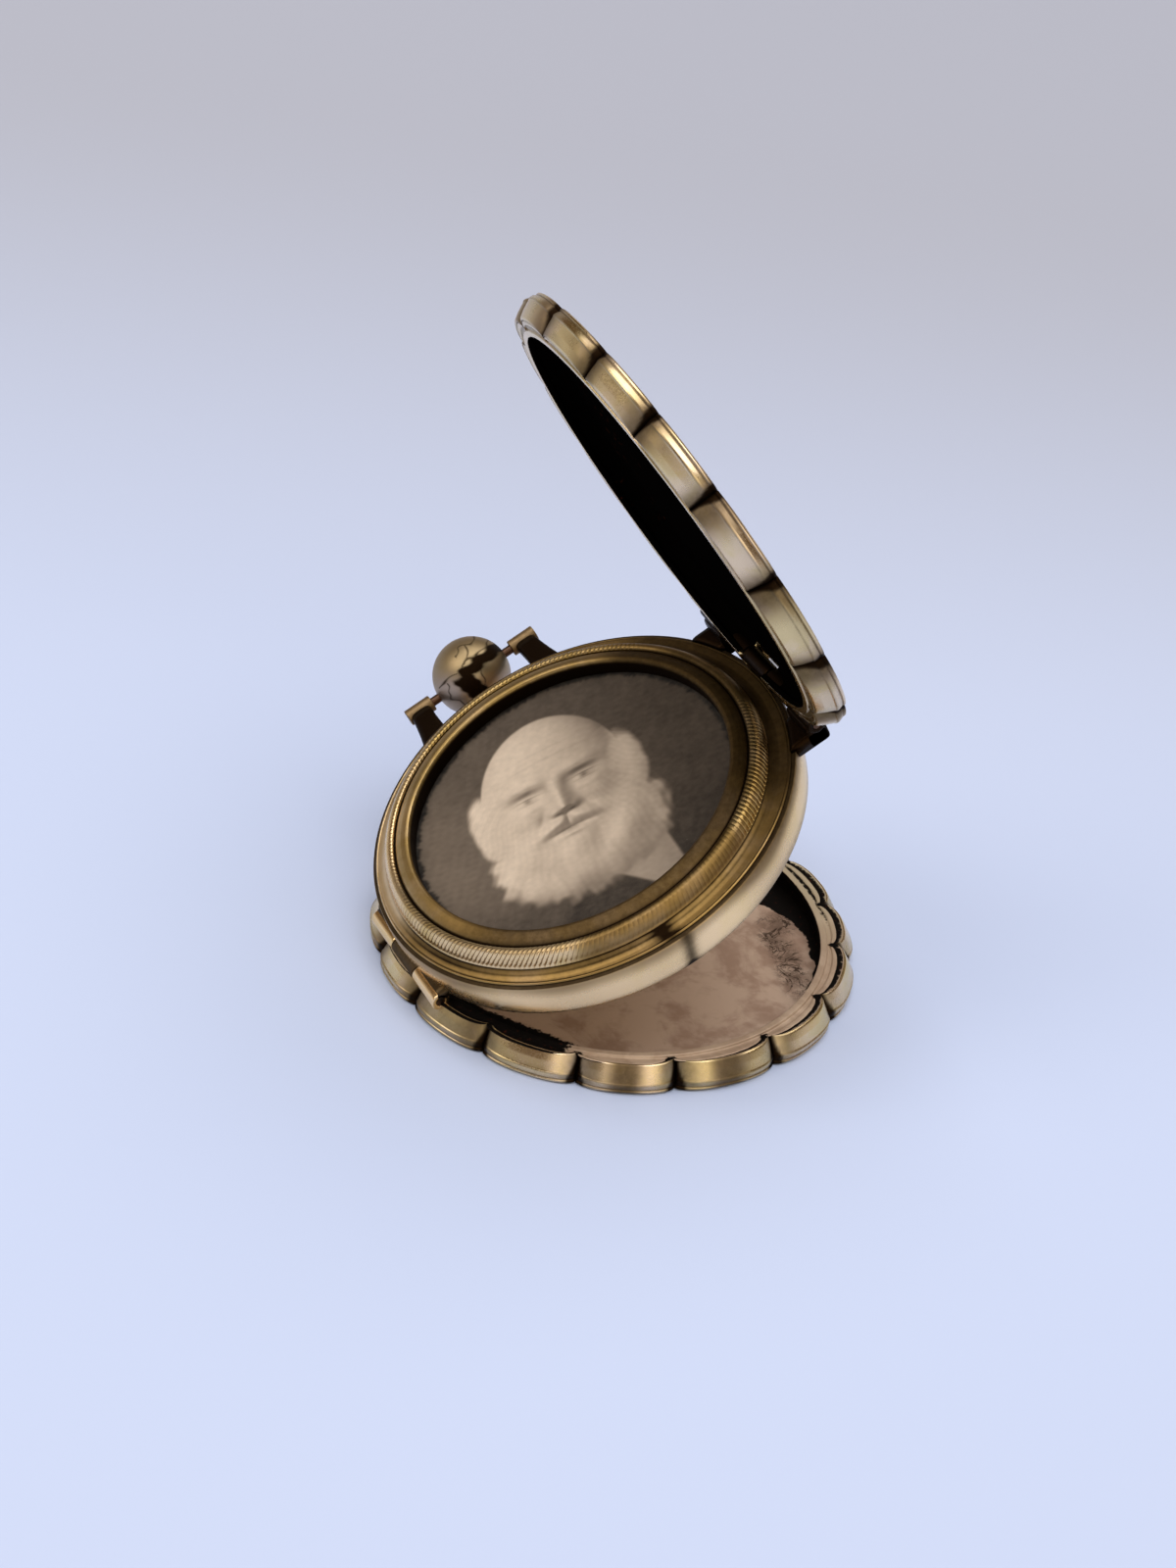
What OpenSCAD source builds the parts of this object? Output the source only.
// Scalloped photo locket, standing open on its back cover.
// A shallow scalloped back cover lies on its outer face. A round picture frame is hinged
// to it at nine o'clock, and a scalloped front cover is hinged to the frame at three o'clock.
// A ball pendant turns on a pin between two knuckles at twelve o'clock.
// Millimetres. The origin is the centre of the back cover's outer face, +Z up,
// +X towards the front cover's hinge and +Y towards the ball pendant.

/* [Covers] */
// Radius of the round mouth of each cover
mouth_r = 13.6; // [13.5:0.05:13.7]
// Height of each cover from its outer face to its lip
cover_h = 1.95; // [1.9:0.05:2.1]
// Thickness of the outer plate
plate_t = 0.4; // [0.3:0.05:0.6]
// Radius over the scallops at their foot
lobe_foot_r = 15.62; // [15.5:0.01:15.9]
// Radius over the scallops at their top edge
lobe_top_r = 15.0; // [14.8:0.05:15.2]
// Depth of the notches between the scallops
notch_depth = 0.8; // [0.6:0.05:0.9]
// Radius over the scalloped edge of the outer plate
plate_r = 15.3; // [15.1:0.05:15.5]
// Height of the plate's bevelled edge
bevel_h = 0.3; // [0.2:0.05:0.4]
// Width of the plain ring round the mouth
lip_w = 0.5; // [0.4:0.05:0.6]
// Drop from the lip to the top of the scallops
lobe_drop = 0.1; // [0.05:0.05:0.2]
// How far the back cover's scallops sit off the middle, towards the front cover's hinge
lobe_shift = 0.4; // [0:0.05:0.4]

/* [Frame] */
// Radius over the polished band
band_r = 14.15; // [14.1:0.01:14.2]
// Height of the band
band_h = 2.49; // [2.4:0.01:2.6]
// How far the band bulges past its edges
band_bulge = 0.1; // [0.05:0.01:0.2]
// Inner radius of the band
band_in_r = 13.05; // [12.9:0.05:13.2]
// How far the bezel's rings sit off the middle, towards the back hinge
bezel_shift = 0.27; // [0:0.01:0.3]
// Outer radius of the milled bead
bead_out_r = 12.67; // [12.6:0.01:12.7]
// Inner radius of the milled bead
bead_in_r = 11.79; // [11.75:0.01:11.85]
// Height of the bead's crest above the band's upper edge
bead_rise = 1.55; // [1.4:0.05:1.6]
// Radius of the opening in front of the picture
sight_r = 10.6; // [10.5:0.05:10.7]
// Thickness of the picture with its board
picture_t = 1.0; // [0.8:0.05:1.1]

/* [Hinges] */
// Distance of the back hinge from the locket's centre line
hinge_r = 14.05; // [14:0.01:14.1]
// Distance of the front hinge from the frame's centre line
front_hinge_r = 14.2; // [14.1:0.01:14.3]
// Height of the front hinge above the closed front cover's lip
front_lift = 0.65; // [0.6:0.05:0.7]
// Outer radius of the hinge knuckles
knuckle_r = 0.6; // [0.5:0.05:0.65]
// Radius of the hinge pins
pin_r = 0.25; // [0.2:0.05:0.3]
// Length of the hinge between back cover and frame
back_hinge_len = 9.3; // [8:0.1:10]
// Length of the hinge between frame and front cover
front_hinge_len = 14.2; // [12:0.1:14.4]
// Height of the closed front cover's lip above the band's upper edge
front_seat = 0.55; // [0.5:0.05:0.65]
// Angle between back cover and frame as the locket stands open
frame_angle = 31; // [0:0.1:60]
// Angle between frame and front cover as the locket stands open
cover_angle = 86.9; // [0:0.1:88]

/* [Pendant] */
// Radius of the ball
ball_r = 2.6; // [2.4:0.05:2.65]
// Distance of the ball from the locket's centre line
ball_y = 17.5; // [17.4:0.05:17.8]
// Height of the ball's centre below the band's upper edge
ball_drop = 1.45; // [1.2:0.05:1.5]
// Outer radius of the two knuckles beside the ball
ear_r = 0.55; // [0.5:0.05:0.6]
// Distance from the ball's centre to the near end of each knuckle
ear_in = 3.15; // [3:0.05:3.3]
// Distance from the ball's centre to the far end of each knuckle
ear_out = 5.05; // [4.8:0.05:5.3]
// Radius of the hole for the jump ring
ring_hole_r = 0.45; // [0.3:0.05:0.5]

/* [Hidden] */
$fn = 96;

// Hand-cut notches between the scallops, in degrees from +X, one row for each cover
back_notches = [10, 32, 54, 77, 100, 123, 146, 168, 188.5, 211, 234.5, 258, 285, 308.5, 332, 349.5];
front_notches = [12, 34, 56, 78, 100, 122, 144, 166, 188.5, 208.5, 229.5, 252.5, 278, 305, 330, 351];
// Points along one scallop
lobe_steps = 8;

// Clearances between pieces that turn on each other, and between seated pieces
parting_gap = 0.1;
knuckle_gap = 0.1;
swing_gap = 0.15;
bore_gap = 0.03;
seat_gap = 0.03;
over = 1;

// Heights in the frame's own axes, whose zero is below the band's upper edge
rim_z = 0.42;
band_low = rim_z - band_h;
front_lip_z = rim_z + front_seat;
back_axis_z = band_low - parting_gap / 2;
front_axis_z = front_lip_z + front_lift;
web_top = -0.05;
web_low = -0.45;
flange_r = 13.8;
picture_r = 11.6;
picture_low = web_top + seat_gap;
picture_top = picture_low + picture_t;
bead_top = rim_z + bead_rise;

// Hinge knuckles, from the middle outwards
back_mid = back_hinge_len / 6;
back_end = back_hinge_len / 2;
front_step = front_hinge_len / 5;
front_mid = front_step / 2;
front_next = front_mid + front_step;
front_end = front_hinge_len / 2;

// Pin and foot of the pendant
ball_pin_r = 0.3;
ball_z = rim_z - ball_drop;
foot_t = 0.9;

function swell(u) = sqrt(1 - pow(abs(u), 3));

// Closed outline of a scalloped disc: radius r over the scallops, r - depth in the notches
function scallop_outline(cuts, r, depth) = [
    for (i = [0 : len(cuts) - 1])
        let (a = cuts[i], b = i == len(cuts) - 1 ? cuts[0] + 360 : cuts[i + 1])
            for (k = [0 : lobe_steps - 1])
                let (u = 2 * k / lobe_steps - 1,
                     turn = a + (b - a) * k / lobe_steps,
                     reach = r - depth * (1 - swell(u)))
                    [reach * cos(turn), reach * sin(turn)]
];

// Cylinder along Y between y0 and y1, centred on x, z
module rod(x, z, r, y0, y1) {
    translate([x, y1, z]) rotate([90, 0, 0]) cylinder(r = r, h = y1 - y0);
}

// The same rod on both sides of the middle
module rod_pair(x, z, r, y0, y1) {
    rod(x, z, r, y0, y1);
    rod(x, z, r, -y1, -y0);
}

// Block between two corners
module block(low, high) {
    translate(low) cube(high - low);
}

// Scalloped pan with its outer face at z = 0 and its mouth at z = cover_h
module pan(cuts, off_middle) {
    wall_h = cover_h - lobe_drop - bevel_h;
    floor_r = mouth_r - 0.3;
    under_r = mouth_r + 0.4;
    difference() {
        union() {
            translate([off_middle, 0, 0]) linear_extrude(height = bevel_h, scale = lobe_foot_r / plate_r)
                polygon(scallop_outline(cuts, plate_r, notch_depth * 0.5));
            translate([off_middle, 0, bevel_h])
                linear_extrude(height = wall_h, scale = lobe_top_r / lobe_foot_r)
                    polygon(scallop_outline(cuts, lobe_foot_r, notch_depth));
            translate([0, 0, plate_t]) cylinder(r = mouth_r + lip_w, h = cover_h - plate_t);
        }
        rotate_extrude()
            polygon([[0, plate_t], [floor_r, plate_t], [under_r, plate_t + 0.4], [under_r, cover_h - 0.5],
                     [mouth_r, cover_h - 0.4], [mouth_r, cover_h + over], [0, cover_h + over]]);
    }
}

// Puts the frame and all it carries at the angle of the open locket
module frame_pose() {
    translate([-hinge_r, 0, cover_h + parting_gap / 2]) rotate([0, -frame_angle, 0])
        translate([hinge_r, 0, -back_axis_z]) children();
}

// Puts the front cover at its angle to the frame
module cover_pose() {
    frame_pose() translate([front_hinge_r, 0, front_axis_z]) rotate([0, cover_angle, 0])
        translate([-front_hinge_r, 0, cover_h - front_lift]) mirror([0, 0, 1]) children();
}

module back_cover() {
    axis_z = cover_h + parting_gap / 2;
    color("darkkhaki") difference() {
        union() {
            pan(back_notches, lobe_shift);
            rod(-hinge_r, axis_z, knuckle_r, -back_mid + knuckle_gap / 2, back_mid - knuckle_gap / 2);
        }
        rod_pair(-hinge_r, axis_z, knuckle_r + swing_gap, back_mid - knuckle_gap / 2, back_end + swing_gap);
        rod(-hinge_r, axis_z, pin_r + bore_gap, -back_end - over, back_end + over);
    }
}

// Slots in the front cover's wall that let the frame's posts pass as it opens
module post_slots(axis_z) {
    low = axis_z - knuckle_r - swing_gap - 0.03;
    for (side = [-1, 1]) scale([1, side, 1])
        block([mouth_r - 0.3, front_next - knuckle_gap / 2, low], [hinge_r + 4, front_end + swing_gap, cover_h + over]);
    block([mouth_r - 0.3, -front_mid - knuckle_gap / 2, low], [hinge_r + 4, front_mid + knuckle_gap / 2, cover_h + over]);
}

module front_cover() {
    axis_z = cover_h - front_lift;
    color("darkkhaki") cover_pose() difference() {
        union() {
            difference() {
                pan(front_notches, 0);
                post_slots(axis_z);
            }
            rod_pair(front_hinge_r, axis_z, knuckle_r, front_mid + knuckle_gap / 2, front_next - knuckle_gap / 2);
        }
        rod(front_hinge_r, axis_z, pin_r + bore_gap, -front_end - over, front_end + over);
    }
}

// Convex band with the ledge inside it that carries the picture
module band_ring() {
    steps = 10;
    half = band_h / 2;
    middle = rim_z - half;
    rotate_extrude() {
        polygon(concat(
            [for (k = [-steps : steps]) [band_r - band_bulge * pow(k / steps, 2), middle + half * k / steps]],
            [[band_in_r, rim_z], [band_in_r, band_low]]));
        translate([sight_r - 0.15, web_low])
            square([band_in_r + 0.2 - sight_r + 0.15, web_top - web_low]);
    }
}

// Knuckle feet of the pendant, flared where they meet the band
module pendant_foot() {
    difference() {
        translate([0, 0, ball_z - foot_t / 2]) linear_extrude(height = foot_t)
            polygon([[ear_in + 0.15, ball_y], [ear_out - 0.05, ball_y], [ear_out, ball_y - 2.6],
                     [ear_out + 0.75, 12.9], [ear_in + 0.3, 13.1], [ear_in + 0.45, ball_y - 2.2]]);
        translate([0, 0, ball_z - foot_t]) cylinder(r = band_in_r + 0.3, h = foot_t * 2);
    }
}

module pendant_ear() {
    pendant_foot();
    translate([ear_in, ball_y, ball_z]) rotate([0, 90, 0]) cylinder(r = ear_r, h = ear_out - ear_in);
}

// Posts that carry the frame's knuckles of the front hinge above the band
module posts() {
    web_in = hinge_r - 2.3;
    post_out = hinge_r + 0.45;
    difference() {
        union() {
            for (side = [-1, 1]) scale([1, side, 1]) {
                block([web_in, front_next + knuckle_gap / 2, rim_z - 0.7], [post_out, front_end, front_lip_z - swing_gap]);
                block([mouth_r - 0.15, front_next + knuckle_gap / 2, rim_z - 0.6], [post_out, front_end, front_axis_z]);
            }
            block([web_in, -front_mid + knuckle_gap / 2, rim_z - 0.7],
                  [post_out, front_mid - knuckle_gap / 2, front_axis_z]);
        }
        translate([0, 0, band_low - over]) cylinder(r = band_in_r + 0.3, h = rim_z - band_low + over);
        translate([0, 0, rim_z]) cylinder(r = flange_r + seat_gap, h = band_h);
    }
}

module frame_band() {
    web_in = hinge_r - 2.3;
    color("tan") frame_pose() difference() {
        union() {
            band_ring();
            rod_pair(-hinge_r, back_axis_z, knuckle_r, back_mid + knuckle_gap / 2, back_end);
            rod(front_hinge_r, front_axis_z, knuckle_r, -front_mid + knuckle_gap / 2, front_mid - knuckle_gap / 2);
            rod_pair(front_hinge_r, front_axis_z, knuckle_r, front_next + knuckle_gap / 2, front_end);
            posts();
            difference() {
                for (side = [-1, 1]) scale([1, side, 1])
                    block([-hinge_r, back_mid + knuckle_gap / 2, band_low], [-web_in, back_end, band_low + 0.6]);
                translate([0, 0, band_low - over]) cylinder(r = band_in_r + 0.3, h = rim_z - band_low + over);
            }
            for (side = [0, 1]) mirror([side, 0, 0]) pendant_ear();
        }
        rod(-hinge_r, back_axis_z, knuckle_r + swing_gap, -back_mid - knuckle_gap / 2, back_mid + knuckle_gap / 2);
        rod_pair(front_hinge_r, front_axis_z, knuckle_r + swing_gap,
                 front_mid - knuckle_gap / 2, front_next + knuckle_gap / 2);
        rod(-hinge_r, back_axis_z, pin_r + bore_gap, -back_end - over, back_end + over);
        rod(front_hinge_r, front_axis_z, pin_r + bore_gap, -front_end - over, front_end + over);
        translate([-ear_out - over, ball_y, ball_z]) rotate([0, 90, 0])
            cylinder(r = ball_pin_r + bore_gap, h = 2 * (ear_out + over));
    }
}

// Bezel ring: outer cove, milled bead, groove and the raised lip in front of the picture.
// Its skirt is centred in the band, and the rings above it sit a little off the middle.
module milled_bezel() {
    skirt_r = band_in_r - seat_gap;
    skirt_in = skirt_r - 0.55;
    foot_z = rim_z + seat_gap;
    color("goldenrod") frame_pose() union() {
        rotate_extrude()
            polygon([[skirt_in, picture_low], [skirt_r, picture_low], [skirt_r, foot_z], [flange_r, foot_z],
                     [flange_r - 0.05, rim_z + 0.13], [flange_r - 0.3, rim_z + 0.2],
                     [skirt_in, rim_z + 0.3]]);
        translate([-bezel_shift, 0, 0]) rotate_extrude()
            polygon([[sight_r, picture_top + seat_gap], [picture_r + 0.4, picture_top + seat_gap],
                     [skirt_in + 0.3, foot_z + 0.01], [flange_r - 0.45, foot_z + 0.01], [flange_r - 0.5, rim_z + 0.2],
                     [flange_r - 0.75, rim_z + 0.3], [bead_out_r + 0.1, rim_z + 0.47],
                     [bead_out_r, rim_z + 0.6], [bead_out_r - 0.06, bead_top - 0.62],
                     [bead_out_r - 0.2, bead_top - 0.3], [bead_out_r - 0.4, bead_top - 0.08],
                     [bead_in_r + 0.24, bead_top], [bead_in_r + 0.07, bead_top - 0.03],
                     [bead_in_r, bead_top - 0.13], [bead_in_r - 0.17, bead_top - 0.13],
                     [bead_in_r - 0.3, bead_top + 0.02], [bead_in_r - 0.6, bead_top + 0.17],
                     [sight_r + 0.3, bead_top + 0.22], [sight_r + 0.08, bead_top + 0.17],
                     [sight_r, bead_top + 0.08]]);
    }
}

module picture() {
    color("dimgray") frame_pose()
        translate([0, 0, picture_low]) cylinder(r = picture_r, h = picture_t);
}

// Plain cup that closes the back of the frame
module frame_back() {
    cup_r = band_in_r - seat_gap;
    cup_low = band_low + 0.2;
    cup_top = web_low - seat_gap;
    color("tan") frame_pose() difference() {
        translate([0, 0, cup_low]) cylinder(r = cup_r, h = cup_top - cup_low);
        translate([0, 0, cup_low + plate_t]) cylinder(r = cup_r - 0.6, h = band_h);
    }
}

module back_hinge_pin() {
    color("peru") frame_pose() rod(-hinge_r, back_axis_z, pin_r, -back_end, back_end);
}

module front_hinge_pin() {
    color("peru") frame_pose() rod(front_hinge_r, front_axis_z, pin_r, -front_end, front_end);
}

module ball_pin() {
    color("peru") frame_pose() translate([-ear_out, ball_y, ball_z]) rotate([0, 90, 0])
        cylinder(r = ball_pin_r, h = 2 * ear_out);
}

// Ball with its pin bore and, outside that, the bore for the jump ring
module ball_pendant() {
    ring_off = 1.5;
    ball_steps = 20;
    pole = asin((ball_pin_r + bore_gap) / ball_r);
    color("darkkhaki") frame_pose() translate([0, ball_y, ball_z]) difference() {
        rotate([0, 90, 0]) rotate_extrude()
            polygon(concat(
                [[ball_pin_r + bore_gap, -ball_r * cos(pole)]],
                [for (k = [1 : ball_steps - 1])
                    let (t = -90 + pole + (180 - 2 * pole) * k / ball_steps) [ball_r * cos(t), ball_r * sin(t)]],
                [[ball_pin_r + bore_gap, ball_r * cos(pole)]]));
        translate([0, ring_off, 0]) rotate([0, 90, 0])
            cylinder(r = ring_hole_r, h = 2 * ball_r + over, center = true);
    }
}

back_cover();
front_cover();
frame_band();
milled_bezel();
picture();
frame_back();
back_hinge_pin();
front_hinge_pin();
ball_pin();
ball_pendant();
